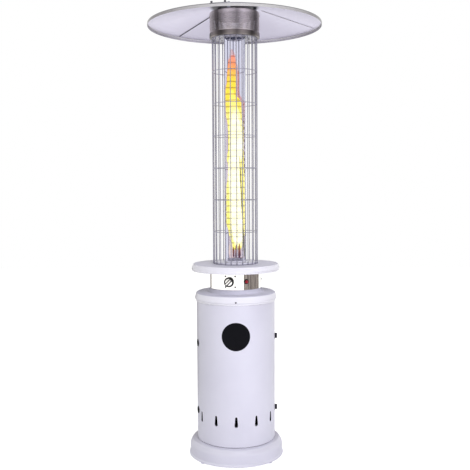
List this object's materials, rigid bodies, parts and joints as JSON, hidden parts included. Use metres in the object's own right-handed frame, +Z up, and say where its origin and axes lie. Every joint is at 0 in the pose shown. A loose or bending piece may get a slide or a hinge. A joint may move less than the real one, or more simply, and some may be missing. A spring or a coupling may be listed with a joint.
{
  "type": "mushroom patio heater",
  "caption": "Free-standing gas patio heater: round base, cylindrical bottle housing with a hinged door, control band, tray, glass flame tube in a wire guard, perforated head and domed reflector.",
  "frame": {"origin": "on the floor under the heater's vertical axis", "axes": "+Z up, -Y toward the front with the control panel, +X to the right as seen from the front"},
  "size_m": [0.813, 0.813, 2.1238],
  "materials": {
    "body_steel": "pale silver steel, softly polished",
    "mirror_steel": "mirror-polished stainless steel",
    "guard_chrome": "bright plated wire",
    "head_steel": "perforated stainless steel, heat-greyed",
    "reflector_aluminium": "polished aluminium sheet",
    "zinc_steel": "zinc-plated steel",
    "dark_steel": "black oxide steel",
    "burner_iron": "heat-darkened cast iron",
    "brass": "machined brass",
    "black_plastic": "moulded heat-proof plastic",
    "vent_black": "black perforated sheet",
    "red_plastic": "red moulded plastic",
    "ceramic": "glazed ceramic insulator with a steel tip",
    "rubber": "black rubber",
    "tube_glass": "clear borosilicate glass"
  },
  "bodies": {
    "frame": {"base_cover": "body_steel", "floor_plate": "zinc_steel", "foot_pad_1": "rubber", "foot_pad_2": "rubber", "foot_pad_3": "rubber", "foot_pad_4": "rubber", "housing_rear": "body_steel", "hinge_frame_leaf_lower": "dark_steel", "hinge_frame_leaf_upper": "dark_steel", "catch_magnet": "black_plastic", "housing_lid": "body_steel", "lid_screw_1": "dark_steel", "lid_screw_2": "dark_steel", "lid_screw_3": "dark_steel", "control_band": "mirror_steel", "control_plate": "mirror_steel", "plate_screw_1": "dark_steel", "plate_screw_2": "dark_steel", "plate_screw_3": "dark_steel", "plate_screw_4": "dark_steel", "band_screw": "dark_steel", "gas_valve_body": "brass", "igniter_bezel": "black_plastic", "igniter_body": "black_plastic", "hose_tail": "brass", "gas_pipe": "brass", "burner_bracket": "zinc_steel", "burner_cup": "burner_iron", "pilot_tube": "zinc_steel", "thermocouple": "brass", "spark_electrode": "ceramic", "tilt_switch": "black_plastic", "tray": "body_steel", "tube_deck": "body_steel", "glass_tube": "tube_glass", "tube_collar": "zinc_steel", "wire_guard": "guard_chrome", "head_plate": "head_steel", "head_screen": "head_steel", "head_cap": "head_steel", "reflector_panel_1": "reflector_aluminium", "reflector_panel_2": "reflector_aluminium", "reflector_panel_3": "reflector_aluminium", "reflector_stud_1": "zinc_steel", "reflector_stud_2": "zinc_steel", "reflector_stud_3": "zinc_steel", "seam_clamp_1": "dark_steel", "seam_clamp_2": "dark_steel", "seam_clamp_3": "dark_steel"},
    "door": {"housing_door": "body_steel", "vent_screen": "vent_black", "hinge_door_leaf_lower": "dark_steel", "hinge_door_leaf_upper": "dark_steel", "finger_grommet_lower": "rubber", "finger_grommet_upper": "rubber", "catch_striker": "zinc_steel"},
    "valve_plug": {"gas_valve_plug": "brass"},
    "knob": {"gas_valve_spindle": "zinc_steel", "control_knob": "black_plastic"},
    "igniter": {"igniter_button": "red_plastic"}
  },
  "joints": [
    {"name": "door_hinge", "type": "hinge", "parent": "frame", "child": "door", "pos_m": [0.1935, 0, 0.394], "axis": [0, 0, 1], "range_deg": [0, 115]},
    {"name": "knob_turn", "type": "hinge", "parent": "frame", "child": "valve_plug", "pos_m": [0, 0, 0.842], "axis": [-0.2419, -0.9703, 0], "range_deg": [0, 180]},
    {"name": "knob_push", "type": "slide", "parent": "valve_plug", "child": "knob", "axis": [0.2419, 0.9703, 0], "range_m": [0, 0.004], "stiffness_N_per_m": 1500, "springref_m": -0.002},
    {"name": "igniter_push", "type": "slide", "parent": "frame", "child": "igniter", "axis": [-0.4019, 0.9157, 0], "range_m": [0, 0.0045], "stiffness_N_per_m": 2500, "springref_m": -0.002}
  ]
}
